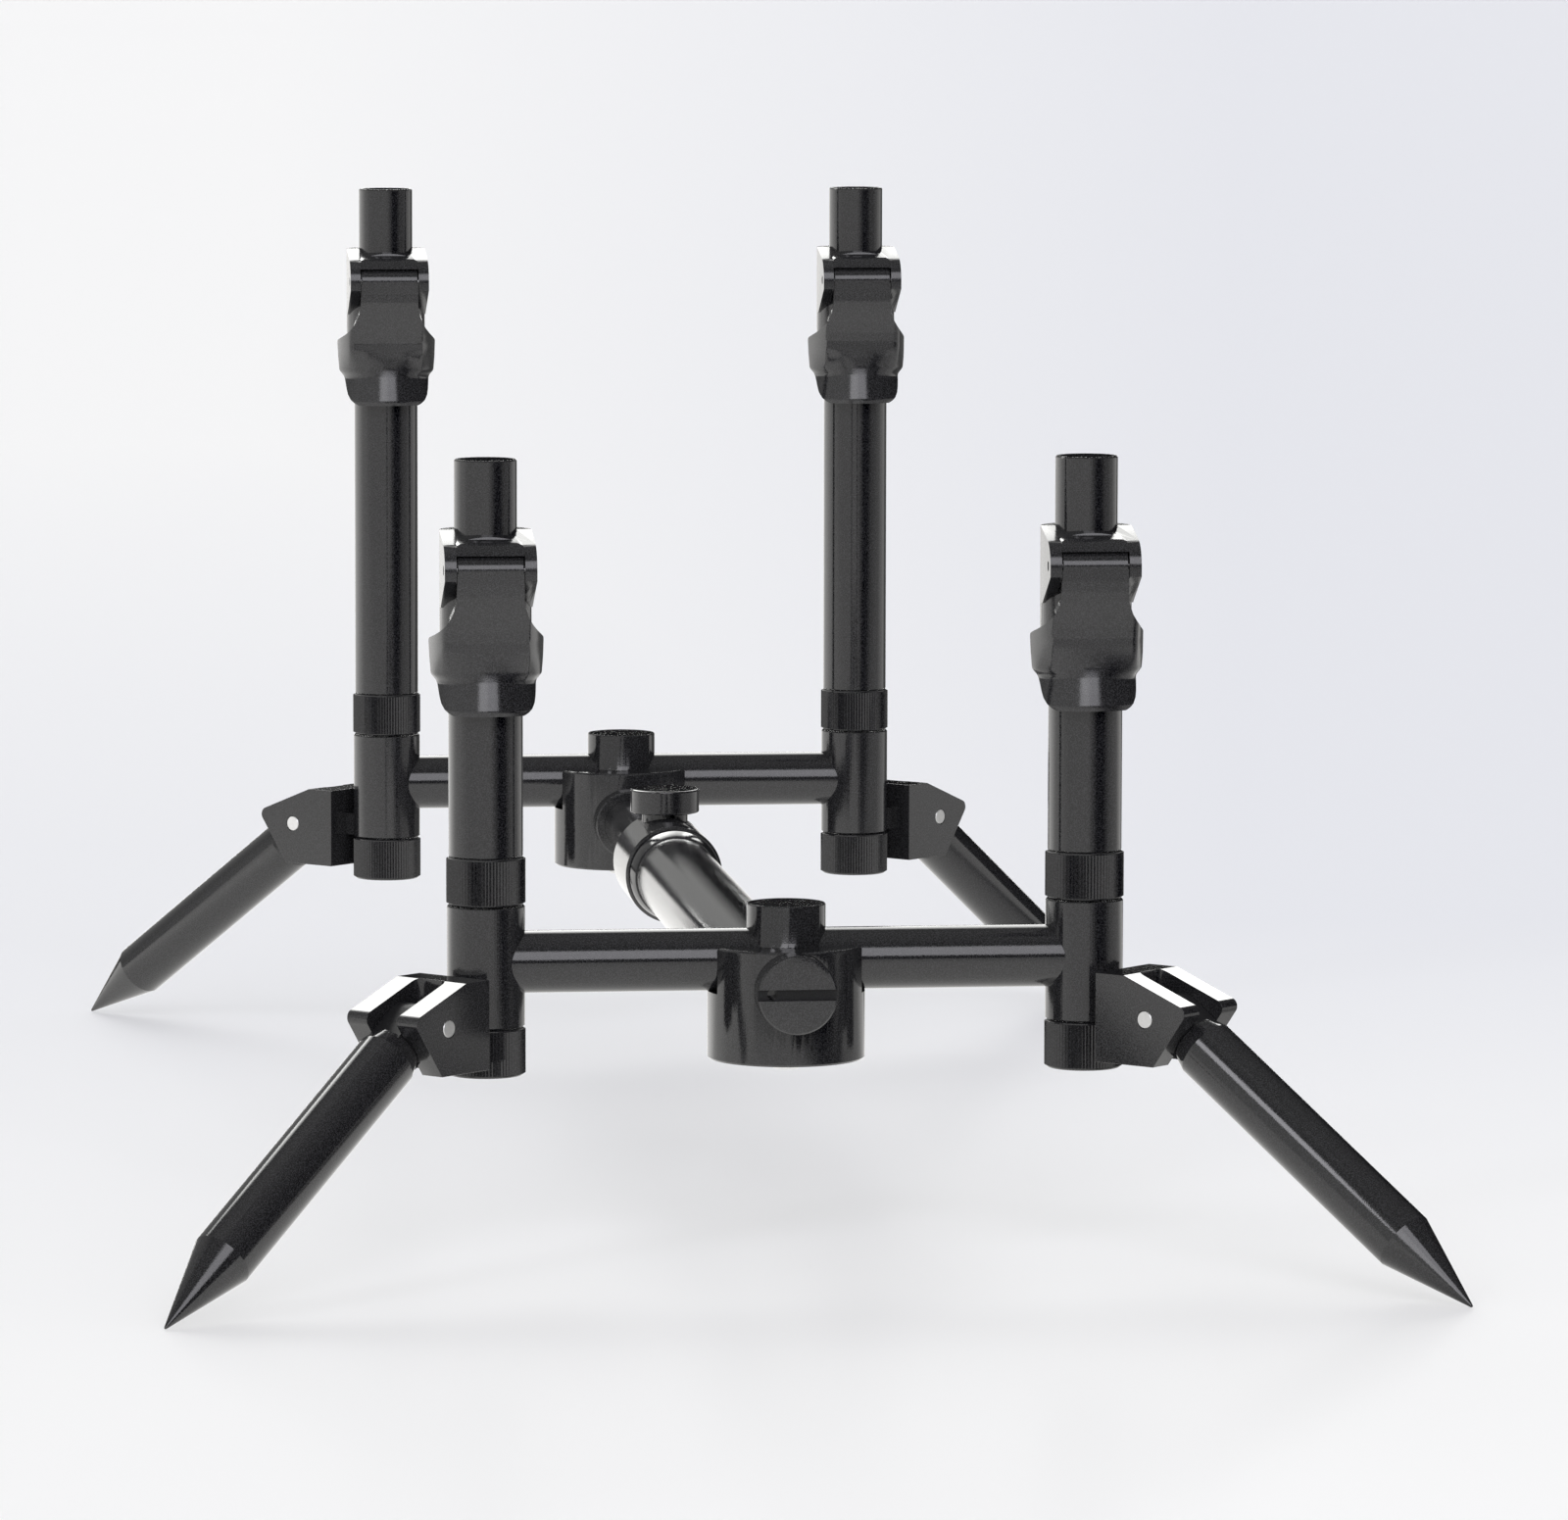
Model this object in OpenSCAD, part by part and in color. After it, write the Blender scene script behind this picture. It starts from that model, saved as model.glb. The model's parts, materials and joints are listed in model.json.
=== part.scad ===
// Rod pod: two crossbars on a telescopic spine, four cam locked uprights and four folding legs.
// Millimetres, +Z up, the front towards -Y. The origin is on the ground under the middle of the pod.

/* [Stance] */
// Distance between the axes of the two crossbars
bar_gap = 519.6; // [460:0.1:600]
// Distance between the axes of the front uprights
front_spread = 182.9; // [150:0.1:300]
// Distance between the axes of the rear uprights
rear_spread = 168.8; // [150:0.1:300]

/* [Crossbars] */
// Outer diameter of a crossbar
bar_d = 19; // [17:0.1:20]
// Wall of a crossbar
bar_wall = 1.6; // [1:0.1:2.5]
// Distance from an upright's axis to the end of the crossbar inside the sleeve
bar_inset = 6.4; // [6.1:0.1:7.5]
// Height of the crossbars above the middle of their sleeves
bar_rise = 0.9; // [0:0.1:1.5]

/* [Clamp blocks] */
// Diameter of a clamp block
block_d = 48; // [44:0.5:56]
// Height of a block above the middle of the sleeves
block_top = 5.5; // [3:0.5:7]
// Depth of a block below the middle of the sleeves
block_bottom = 29.3; // [28:0.1:36]
// Diameter of the clamp caps and the thumbscrew knob
knob_d = 24; // [23:0.5:28]
// Height of the clamp caps above the middle of the sleeves
cap_top = 18; // [16:0.5:24]
// Height of the thumbscrew knob
knob_h = 8.2; // [7:0.1:12]
// Diameter of the clamp bolts and the thumbscrew shank
bolt_d = 6; // [5:0.5:7]
// Diameter of a clamp bolt's head
bolt_head_d = 8.6; // [8:0.1:12]
// Height of a clamp bolt's head
bolt_head_h = 3.3; // [2:0.1:5]

/* [Slotted plugs] */
// Diameter of a plug's face
plug_d = 24; // [20:0.5:24.5]
// How far a plug's face stands out of its block
plug_proud = 8; // [3:0.5:10]
// Depth of a plug's axis below the crossbar axis
plug_drop = 6.4; // [6:0.1:12]
// Diameter of the shank that holds a plug in its block
plug_shank_d = 14; // [8:0.5:16]
// Width of the slot across a plug
plug_slot = 3.4; // [2:0.1:5]
// Depth of the slot across a plug
plug_slot_depth = 2.6; // [1:0.1:3]
// Diameter of the pin hole in a plug
plug_hole_d = 3.3; // [2:0.1:4.5]
// Distance of the pin hole from the middle of a plug
plug_hole_out = 7.4; // [5:0.1:8.5]

/* [Spine] */
// Depth of the spine's axis below the crossbar axis
spine_drop = 12; // [11:0.1:13]
// Outer diameter of the outer spine tube
spine_d = 27.4; // [26:0.1:30]
// Bore of the outer spine tube
spine_bore = 24; // [22:0.1:24.5]
// Length of the outer spine tube
spine_length = 338; // [300:1:380]
// Outer diameter of the inner spine tube
slide_d = 18; // [16:0.1:18.5]
// Bore of the inner spine tube
slide_bore = 15; // [12:0.1:15.5]
// Length of the inner spine tube
slide_length = 376; // [340:1:400]
// Length of the guide bush on the inner spine tube
bush_length = 14; // [8:1:24]
// Diameter of the boss that holds the inner spine tube
boss_d = 24; // [22:0.5:26]
// How far that boss stands out of the rear block
boss_proud = 8; // [4:0.5:10]

/* [Spine collar] */
// Diameter of the collar
collar_d = 33; // [31.5:0.5:38]
// Length of the collar
collar_length = 48; // [40:1:60]
// Length of the collar that the outer tube fills
collar_seat = 22; // [14:1:24]
// Distance of the thumbscrew from the end of the outer tube
screw_out = 13; // [11:0.5:14]
// Diameter of the saddle under the thumbscrew
saddle_d = 15.6; // [12:0.1:18]
// Height of the saddle's top above the crossbar axis
saddle_top = 5.8; // [5.2:0.1:10]

/* [Sleeves and rings] */
// Diameter of a sleeve
sleeve_d = 23.7; // [22.5:0.1:26]
// Height of a sleeve
sleeve_h = 36.6; // [34:0.1:44]
// Diameter of the knurled rings and nuts
ring_d = 24; // [22:0.1:28]
// Height of the knurled rings and nuts
ring_h = 14.7; // [10:0.1:20]
// Number of ridges round a knurl
knurl_count = 72; // [36:1:90]
// Depth of the knurl
knurl_depth = 0.45; // [0.2:0.05:0.8]
// Gap between a ring and the pieces above and below it
ring_gap = 0.3; // [0.2:0.05:0.6]
// Diameter of the threaded studs
stud_d = 10; // [8:0.5:10.5]

/* [Uprights] */
// Outer diameter of an outer upright tube
post_d = 22.5; // [21.5:0.1:24]
// Outer diameter of an inner upright tube
inner_d = 19; // [17:0.1:19.4]
// Bore of an inner upright tube
inner_bore = 16.5; // [13:0.1:16.8]
// Length of a front outer tube
front_post_length = 82.4; // [70:0.5:120]
// Length of a rear outer tube
rear_post_length = 142.4; // [120:0.5:200]
// Length of a front inner tube
front_inner_length = 98; // [70:0.5:99]
// Length of a rear inner tube
rear_inner_length = 139; // [90:0.5:160]
// How far an inner tube stands out of its cam lock
inner_show = 21.3; // [14:0.1:40]
// Length of the plug at the foot of an outer tube
foot_plug = 9; // [6:0.5:10]

/* [Cam locks] */
// Diameter of a cam lock's body
lock_d = 27.8; // [26.4:0.1:29]
// Height of the body above the end of the outer tube
lock_top = 16.2; // [15:0.1:20]
// Length of the outer tube inside the body
lock_grip = 24; // [18:0.5:30]
// Distance from the upright's axis to the front of the body
lock_front = 21; // [20.8:0.1:24]
// Width of the lever's head
head_w = 20; // [16:0.1:20.6]
// Radius of the lever's head
head_r = 4.6; // [4.2:0.1:4.8]
// Diameter of the lever's pin
lever_pin_d = 3; // [2:0.1:4]
// Width across the lever's wings
wing_w = 35; // [33:0.1:37]
// Depth of the lever's tip below the end of the outer tube
lever_drop = 39; // [37:0.5:44]
// Width of the lever's tip
tip_w = 29.6; // [27:0.1:31]
// Thickness of the lever's plate
plate_t = 2.3; // [1.8:0.1:2.6]

/* [Leg brackets] */
// Width of a bracket
bracket_w = 28; // [26:0.5:34]
// Width of the slot between a bracket's ears
ear_gap = 12; // [9:0.5:14]
// Height of a bracket
bracket_h = 27.2; // [25:0.1:32]
// Depth of a bracket's flat top below the crossbar axis
bracket_drop = 2.1; // [0:0.1:4]
// Distance from the upright's axis to a bracket's inner face
bracket_in = 14.4; // [13.8:0.1:16]
// Distance from the upright's axis to the end of the bracket's flat top
bracket_flat = 24.9; // [22:0.1:26]
// Slope of a bracket's upper face
bracket_slope = 21.2; // [15:0.1:25]
// Distance from the hinge pin to the face that the leg stops against
nose_out = 11; // [10:0.1:13]
// Radius of the rounded corner at the nose
nose_r = 2.5; // [1:0.1:4]
// Height of the lug between a sleeve and its bracket
lug_h = 7.7; // [6:0.1:10]
// Width of that lug
lug_w = 12; // [8:0.5:16]
// Depth of the lug inside its bracket
lug_in = 6; // [4:0.5:7]

/* [Legs] */
// Outward turn of the legs from the crossbars
leg_turn = 44.15; // [30:0.05:60]
// Tilt of the legs below the horizontal
leg_tilt = 35.45; // [30:0.05:45]
// Length of a leg from its hinge pin to its tip
leg_length = 135; // [110:0.5:180]
// Diameter of a leg
leg_d = 19; // [16:0.1:20]
// Diameter of the leg's neck at the bracket
neck_d = 16.2; // [12:0.1:17]
// Length of the tapered neck
neck_length = 4.4; // [4:0.1:10]
// Length of the pointed end
point_length = 30; // [20:0.5:40]
// Distance of the hinge pin from the upright's axis
pin_out = 32.6; // [31:0.1:36]
// Depth of the hinge pin below the crossbar axis
pin_drop = 15; // [13:0.1:17]
// Diameter of a hinge pin
hinge_pin_d = 5.5; // [4:0.1:7]
// How far a leg folds up from its working place
leg_fold = 104; // [60:1:110]

/* [Hidden] */
$fn = 96;

// Clearances: a turning or sliding fit, a fixed fit, and an open gap between moving pieces
run = 0.06;
fix = 0.02;
gap = 0.3;
edge = 0.5;

// Colours
anodised = [0.13, 0.13, 0.14];
satin = [0.19, 0.19, 0.20];
steel = [0.78, 0.79, 0.81];

// Heights above the ground
tip_r = 0.5;
bar_z = pin_drop + leg_length * sin(leg_tilt) + tip_r * cos(leg_tilt);
front_y = -bar_gap / 2;
rear_y = bar_gap / 2;

channel_half = bar_d / 2 + fix;

// Places along the spine, from the front crossbar axis
spine_start = channel_half + 4.4;
spine_end = spine_start + spine_length;
slide_end = bar_gap - spine_start;
slide_start = slide_end - slide_length;
collar_start = spine_end - collar_seat;
screw_y = spine_end + screw_out;

// Heights along an upright, from the crossbar axis
ring_bottom = sleeve_h / 2 + ring_gap;
post_bottom = ring_bottom + ring_h + ring_gap;
stud_bottom = -sleeve_h / 2 - ring_gap - ring_h + 2.2;

// The lever's head, from the axis and the outer tube's end
head_y = lock_front - 0.3 - head_r;
head_z = 5.2;
pad_half = 5.5;
lip_h = 29.5;
lip_r = lock_front - 5.8;

// The leg's direction in the bracket's own plane, and the bracket's nose
leg_dir = [cos(leg_tilt), -sin(leg_tilt)];
slope_normal = [sin(bracket_slope), cos(bracket_slope)];
pin_at = [pin_out, -pin_drop];
flat_end = [bracket_flat, -bracket_drop];
nose_det = leg_dir.x * slope_normal.y - leg_dir.y * slope_normal.x;
function nose_point(inset) =
    let (
        a = pin_at * leg_dir + nose_out - inset,
        b = flat_end * slope_normal - inset
    )
    [(a * slope_normal.y - leg_dir.y * b) / nose_det, (leg_dir.x * b - a * slope_normal.x) / nose_det];
nose_centre = nose_point(nose_r);
corner_reach = norm(nose_centre - pin_at) + nose_r;
bracket_base = -bracket_drop - bracket_h;
nose_foot = pin_at.x + (nose_out - (bracket_base - pin_at.y) * leg_dir.y) / leg_dir.x;
tongue_r = 6.5;
slot_corner_r = 3;
slot_back = pin_out - tongue_r - 2.1;

function arc(centre, r, from, to, steps = 12) =
    [for (i = [0 : steps]) let (a = from + (to - from) * i / steps) centre + r * [cos(a), sin(a)]];

// A round bar along +Z with a small chamfer at each end
module chamfered(d, h, c = edge) {
    rotate_extrude()
        polygon([[0, 0], [d / 2 - c, 0], [d / 2, c], [d / 2, h - c], [d / 2 - c, h], [0, h]]);
}

// A tube along +Z
module tube(d, bore, h) {
    difference() {
        chamfered(d, h, 0.4);
        translate([0, 0, -1]) cylinder(d = bore, h = h + 2);
    }
}

// Turns a shape that stands along +Z so that it lies along +Y
module lie_y() {
    rotate([-90, 0, 0]) children();
}

// Turns a shape that stands along +Z so that it lies along X, centred
module lie_x(length) {
    translate([-length / 2, 0, 0]) rotate([0, 90, 0]) children();
}

// Extrudes a side profile, drawn as distance along Y and height, to a width centred on X
module side_extrude(w) {
    translate([-w / 2, 0, 0]) rotate([90, 0, 90]) linear_extrude(w) children();
}

// The knurled body of a ring or nut: ridges between two plain rims
module knurled(h) {
    rim = 0.7;
    valley_r = ring_d / 2 - knurl_depth;
    chamfered(2 * valley_r - 0.2, h, 0.4);
    translate([0, 0, rim]) linear_extrude(h - 2 * rim)
        polygon([
            for (i = [0 : 2 * knurl_count - 1])
                let (a = 180 * i / knurl_count, r = i % 2 == 0 ? ring_d / 2 : valley_r)
                [r * cos(a), r * sin(a)]
        ]);
}

// Clamp blocks: the front of the block is towards -Y
module block_body() {
    translate([0, 0, -block_bottom]) chamfered(block_d, block_bottom + block_top, 0.6);
}

module block_cuts() {
    // channel for the crossbar, open at the top
    translate([-block_d, -channel_half, bar_rise - channel_half]) cube([2 * block_d, 2 * channel_half, 100]);
    // bolt hole
    translate([0, 0, -block_bottom - 1]) cylinder(d = bolt_d + 2 * gap, h = block_bottom);
    // seat and blind hole of the slotted plug
    translate([0, 0, -plug_drop]) rotate([90, 0, 0]) {
        translate([0, 0, plug_seat()]) cylinder(d = plug_d + 2 * fix, h = block_d);
        translate([0, 0, plug_inner()]) cylinder(d = plug_shank_d + 2 * fix, h = block_d);
    }
}

// Distance from the block's axis to the flat seat behind a plug's face, and to the end of its shank
function plug_seat() = sqrt(pow(block_d / 2, 2) - pow(plug_d / 2, 2)) - 0.4;
function plug_inner() = channel_half + 4.4;

module front_clamp_block() {
    color(anodised) difference() {
        block_body();
        block_cuts();
        translate([0, spine_start, -spine_drop]) lie_y() cylinder(d = spine_d + 2 * fix, h = block_d);
    }
}

// The rear block is turned round, so its plug faces backwards and its boss faces the spine
module rear_clamp_block() {
    color(anodised) difference() {
        union() {
            block_body();
            translate([0, 0, -spine_drop]) lie_y() chamfered(boss_d, block_d / 2 + boss_proud);
        }
        block_cuts();
        translate([0, spine_start, -spine_drop]) lie_y() cylinder(d = slide_d + 2 * fix, h = block_d);
    }
}

module plug() {
    face = block_d / 2 + plug_proud;
    color(anodised) translate([0, 0, -plug_drop]) rotate([90, 0, 0]) difference() {
        union() {
            translate([0, 0, plug_seat()]) chamfered(plug_d, face - plug_seat());
            translate([0, 0, plug_inner()]) cylinder(d = plug_shank_d, h = plug_seat() - plug_inner() + 1);
        }
        translate([-plug_d, -plug_slot / 2, face - plug_slot_depth])
            cube([2 * plug_d, plug_slot, 2 * plug_slot_depth]);
        translate([-plug_hole_out, 0, face - 7]) cylinder(d = plug_hole_d, h = 8);
    }
}

module clamp_bolt() {
    head_top = -block_bottom - 0.1;
    color(steel) {
        translate([0, 0, head_top - bolt_head_h]) chamfered(bolt_head_d, bolt_head_h, 0.7);
        translate([0, 0, head_top - 0.5]) cylinder(d = bolt_d, h = cap_top - 2.5 - head_top + 0.5);
    }
}

// The cap straddles the crossbar and stands on the block, and the bolt pulls it down
module clamp_cap() {
    foot = 1.4;
    color(satin) difference() {
        union() {
            translate([0, 0, block_top + fix]) chamfered(knob_d, cap_top - block_top - fix, 0.3);
            translate([0, 0, block_top + fix]) cylinder(d1 = knob_d + 0.9, d2 = knob_d, h = foot);
        }
        translate([0, 0, bar_rise]) lie_x(2 * knob_d) cylinder(d = bar_d + 2 * fix, h = 2 * knob_d);
        translate([0, 0, -block_d]) cylinder(d = bolt_d + 2 * run, h = block_d + cap_top - 1.5);
        translate([-knob_d, -channel_half, -block_d]) cube([2 * knob_d, 2 * channel_half, block_d + bar_rise]);
    }
}

module crossbar(spread) {
    length = spread - 2 * bar_inset;
    color(anodised) difference() {
        translate([0, 0, bar_rise]) lie_x(length) cylinder(d = bar_d, h = length);
        translate([0, 0, bar_rise]) lie_x(length + 2) cylinder(d = bar_d - 2 * bar_wall, h = length + 2);
        translate([0, 0, -bar_d]) cylinder(d = bolt_d + 2 * gap, h = 2 * bar_d);
    }
}

// Spine pieces, placed from the front crossbar axis along +Y
module spine_outer_tube() {
    color(anodised) translate([0, spine_start, -spine_drop]) lie_y() tube(spine_d, spine_bore, spine_length);
}

module spine_collar() {
    nose = 2.4;
    color(anodised) difference() {
        union() {
            translate([0, collar_start + nose, -spine_drop]) lie_y() chamfered(collar_d, collar_length - nose, 0.8);
            translate([0, collar_start, -spine_drop]) lie_y() chamfered(collar_d - 3, nose + 1, 0.8);
            translate([0, screw_y, -spine_drop]) cylinder(d = saddle_d, h = spine_drop + saddle_top);
        }
        translate([0, collar_start - 1, -spine_drop]) lie_y() cylinder(d = spine_d + 2 * fix, h = collar_seat + 1);
        translate([0, collar_start, -spine_drop]) lie_y() cylinder(d = slide_d + 2 * run, h = collar_length + 1);
        translate([0, screw_y, -spine_drop]) cylinder(d = bolt_d + 2 * run, h = 100);
    }
}

module spine_thumbscrew() {
    tip = -spine_drop + slide_d / 2 + gap;
    color(satin) translate([0, screw_y, 0]) {
        translate([0, 0, saddle_top + 0.2]) chamfered(knob_d - 0.4, knob_h, 0.4);
        translate([0, 0, tip]) cylinder(d = bolt_d, h = saddle_top + 1 - tip);
    }
}

module spine_inner_tube() {
    color(anodised) translate([0, slide_start, -spine_drop]) lie_y() tube(slide_d, slide_bore, slide_length);
}

module spine_guide_bush() {
    color(steel) translate([0, slide_start + 0.5, -spine_drop]) lie_y()
        tube(spine_bore - 2 * run, slide_d + 2 * fix, bush_length);
}

// Pieces of an upright, from its axis at the crossbar's height; inward is +1 where the crossbar leaves along +X
module sleeve(inward, out_angle) {
    lug_top = -sleeve_h / 2 + lug_h;
    color(anodised) difference() {
        union() {
            translate([0, 0, -sleeve_h / 2]) chamfered(sleeve_d, sleeve_h, 0.3);
            rotate([0, 0, out_angle]) translate([0, -lug_w / 2, -sleeve_h / 2])
                cube([bracket_in + lug_in, lug_w, lug_top + sleeve_h / 2]);
        }
        translate([0, 0, -sleeve_h]) cylinder(d = stud_d + 2 * fix, h = 2 * sleeve_h);
        translate([0, 0, bar_rise]) rotate([0, inward * 90, 0]) translate([0, 0, bar_inset - 0.1])
            cylinder(d = bar_d + 2 * fix, h = sleeve_d);
    }
}

module stud() {
    color(steel) {
        translate([0, 0, stud_bottom]) cylinder(d = stud_d, h = post_bottom + 1 - stud_bottom);
        translate([0, 0, post_bottom]) cylinder(d = inner_d + 2 * run - 2 * fix, h = foot_plug);
    }
}

module lock_ring() {
    color(satin) translate([0, 0, ring_bottom]) difference() {
        knurled(ring_h);
        translate([0, 0, -1]) cylinder(d = stud_d + 2 * run, h = ring_h + 2);
    }
}

module nut() {
    floor_t = 1.8;
    color(satin) translate([0, 0, -ring_bottom - ring_h]) difference() {
        knurled(ring_h);
        translate([0, 0, floor_t]) cylinder(d = stud_d + 2 * run, h = ring_h);
    }
}

module outer_tube(length) {
    color(anodised) translate([0, 0, post_bottom]) difference() {
        cylinder(d = post_d, h = length);
        translate([0, 0, -1]) cylinder(d = inner_d + 2 * run, h = length + 2);
    }
}

// Height of an outer tube's end above the crossbar axis
function post_top(length) = post_bottom + length;

module inner_tube(post_length, length) {
    top = post_top(post_length) + lock_top + inner_show;
    color(anodised) translate([0, 0, top - length]) tube(inner_d, inner_bore, length);
}

// Outline of a cam lock's head seen from the side: sloped top, round front, cut back below
module lock_side_profile() {
    slope = 13;
    round_r = 8.2;
    c = [-(lock_front - round_r), 4.83 + lock_top - 16.2];
    polygon(concat(
        [[0, lock_top]],
        arc(c, round_r, 90 + slope, 180, 14),
        [[-lock_front, 2.2], [-4, -7], [0, -7]]
    ));
}

// The bridge over the lever's head, a little proud of the cheeks and crowned across
module lock_bridge() {
    crown_r = 30;
    intersection() {
        side_extrude(head_w)
            polygon(concat(
                [[-6, lock_top + 3], [-12, lock_top + 3]],
                arc([-(lock_front - 9.5), 4.83 + lock_top - 16.2], 9.5, 100, 180, 12),
                [[-lock_front, 4], [-6, 4]]
            ));
        translate([0, 0, lock_top]) rotate([7.5, 0, 0]) translate([0, 0, 0.4 - crown_r])
            rotate([90, 0, 0]) cylinder(r = crown_r, h = 40, $fn = 180);
    }
}

// Cam lock body, from the upright's axis and the end of the outer tube
module lock_body() {
    pocket_w = head_w + 2 * gap;
    color(anodised) difference() {
        union() {
            translate([0, 0, -lock_grip]) cylinder(d = lock_d, h = lock_grip + 1);
            cylinder(d = lock_d, h = lock_top);
            side_extrude(lock_d) lock_side_profile();
            lock_bridge();
        }
        // slope in front of the tube, which the plain cylinder above would fill
        difference() {
            translate([-lock_d, -lock_d, lock_top - 8]) cube([2 * lock_d, lock_d, 20]);
            side_extrude(3 * lock_d) lock_side_profile();
            lock_bridge();
        }
        translate([0, 0, -lock_grip - 1]) cylinder(d = post_d + 2 * fix, h = lock_grip + 1);
        cylinder(d = inner_d + 2 * run, h = lock_top + 5);
        // room for the lever's head and plate, at rest and as it opens
        translate([-pocket_w / 2, -2 * lock_front, 0]) cube([pocket_w, 2 * lock_front - head_y, head_z + 4.5]);
        translate([0, -head_y, head_z]) lie_x(pocket_w) cylinder(r = head_r + gap, h = pocket_w);
        translate([-pocket_w / 2, -2 * lock_front, -lock_grip - 1])
            cube([pocket_w, 2 * lock_front - head_y + head_r + gap, lock_grip + 1 + head_z]);
        translate([-lock_d, -2 * lock_front, -lock_grip - 1])
            cube([2 * lock_d, 2 * lock_front - post_d / 2 + 1.6, lock_grip + 1 - 7]);
        // window for the clamping pad, and the hole for the lever's pin
        translate([-pad_half - fix, -lock_front, head_z - 4 - fix]) cube([2 * (pad_half + fix), lock_front, 8 + 2 * fix]);
        translate([0, -head_y, head_z]) lie_x(2 * lock_d) cylinder(d = lever_pin_d + 2 * fix, h = 2 * lock_d);
    }
}

// Clamping pad between the lever's head and the inner tube
module lock_pad() {
    color(steel) difference() {
        translate([-pad_half, -head_y + head_r + gap, head_z - 4])
            cube([2 * pad_half, head_y - head_r - gap - 6.5, 8]);
        translate([0, 0, -1]) cylinder(d = inner_d + 2 * gap, h = 20);
    }
}

module lever_pin() {
    color(steel) translate([0, -head_y, head_z]) lie_x(lock_d - 0.6) cylinder(d = lever_pin_d, h = lock_d - 0.6);
}

// Front outline of the lever: straight head, drawn-in waist, wings and a narrower tip
module lever_outline() {
    head = head_w / 2;
    wing = wing_w / 2;
    tip = tip_w / 2;
    difference() {
        union() {
            translate([-head, -4]) square([2 * head, head_z + head_r + 5]);
            polygon([
                [-head, 0], [-wing - 1, -12], [-wing, -17], [-wing + 0.2, -20.5], [-wing + 1.1, -28],
                [-wing + 1.6, -29.6], [-tip, -31], [-tip + 0.2, -lever_drop + 5],
                [-tip + 0.9, -lever_drop + 2.2], [-tip + 2.9, -lever_drop],
                [tip - 2.9, -lever_drop], [tip - 0.9, -lever_drop + 2.2],
                [tip - 0.2, -lever_drop + 5], [tip, -31],
                [wing - 1.6, -29.6], [wing - 1.1, -28], [wing - 0.2, -20.5], [wing, -17],
                [wing + 1, -12], [head, 0]
            ]);
        }
        // the round cuts that draw in the waist
        for (s = [-1, 1]) translate([s * (head + 18.15), -2.15]) circle(r = 18.2, $fn = 180);
    }
}

// Outer face of the lever seen from the side: round head, hollow waist and a flared lip
function lever_face() = concat(
    arc([-head_y, head_z], head_r, 90, 180, 10),
    [
        [-head_y - head_r + 0.1, 1], [-head_y - head_r + 0.7, -2.5], [-head_y - head_r + 2, -6],
        [-head_y - head_r + 3.7, -10], [-head_y - head_r + 5, -13.5], [-head_y - head_r + 5.8, -17],
        [-head_y - head_r + 6.15, -22], [-head_y - head_r + 5.9, -27], [-lip_r, -lip_h],
        [-lip_r - 1, -33.5], [-lip_r - 1.9, -lever_drop + 1], [-lip_r - 1.3, -lever_drop]
    ]
);

module lever() {
    face = lever_face();
    color(anodised) difference() {
        intersection() {
            translate([0, -1.5, 0]) rotate([90, 0, 0]) linear_extrude(2 * lock_front) lever_outline();
            side_extrude(2 * wing_w) polygon(concat(face, [[0, -lever_drop], [0, head_z + head_r]]));
            union() {
                // head
                translate([0, -head_y, head_z]) lie_x(head_w) cylinder(r = head_r, h = head_w);
                // plate, down to the top of the lip
                side_extrude(25) polygon(concat(
                    [for (p = face) if (p.y > -lip_h) p],
                    [
                        [-lip_r - 0.05, -lip_h - 1], [-lip_r + plate_t, -lip_h - 1], [-12.3, -14], [-13.2, -8],
                        [-14.6, -3], [-14.2, head_z - 3.6]
                    ]
                ));
                // wings
                translate([0, 0, -lip_h]) difference() {
                    cylinder(r = wing_w / 2 + 0.5, h = lip_h - 11);
                    translate([0, 0, -1]) cylinder(r = wing_w / 2 + 0.2 - plate_t, h = lip_h);
                }
                // flared lip, a band that wraps round the tube
                rotate_extrude() polygon([
                    [lip_r, -lip_h + 0.4], [lip_r + 1, -33.5], [lip_r + 1.9, -lever_drop + 1],
                    [lip_r + 1.3, -lever_drop], [lip_r + 1.2 - plate_t, -lever_drop],
                    [lip_r + 1 - plate_t, -33.5], [lip_r - plate_t, -lip_h + 0.4]
                ]);
            }
        }
        translate([0, -head_y, head_z]) lie_x(2 * lock_d) cylinder(d = lever_pin_d + 2 * run, h = 2 * lock_d);
    }
}

// The slot between a bracket's ears, with round corners at its back
module bracket_slot() {
    side = ear_gap / 2 - slot_corner_r;
    for (s = [-1, 1]) translate([slot_back + slot_corner_r, s * side, -50]) cylinder(r = slot_corner_r, h = 100);
    translate([slot_back + slot_corner_r, -ear_gap / 2, -50]) cube([100, ear_gap, 100]);
    translate([slot_back, -side, -50]) cube([100, 2 * side, 100]);
}

// Leg bracket, drawn with its outward direction along +X
module bracket() {
    color(anodised) difference() {
        translate([0, bracket_w / 2, 0]) rotate([90, 0, 0]) linear_extrude(bracket_w)
            polygon(concat(
                [[bracket_in, bracket_base], [bracket_in, -bracket_drop], flat_end],
                arc(nose_centre, nose_r, 90 - bracket_slope, -leg_tilt, 10),
                [[nose_foot, bracket_base]]
            ));
        bracket_slot();
        translate([0, -lug_w / 2 - fix, -sleeve_h / 2 - fix])
            cube([bracket_in + lug_in, lug_w + 2 * fix, lug_h + 2 * fix]);
        translate([pin_out, -bracket_w, -pin_drop]) lie_y() cylinder(d = hinge_pin_d + 2 * fix, h = 2 * bracket_w);
    }
}

module hinge_pin() {
    color(steel) translate([pin_out, -bracket_w / 2, -pin_drop]) lie_y() chamfered(hinge_pin_d, bracket_w, 0.3);
}

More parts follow.
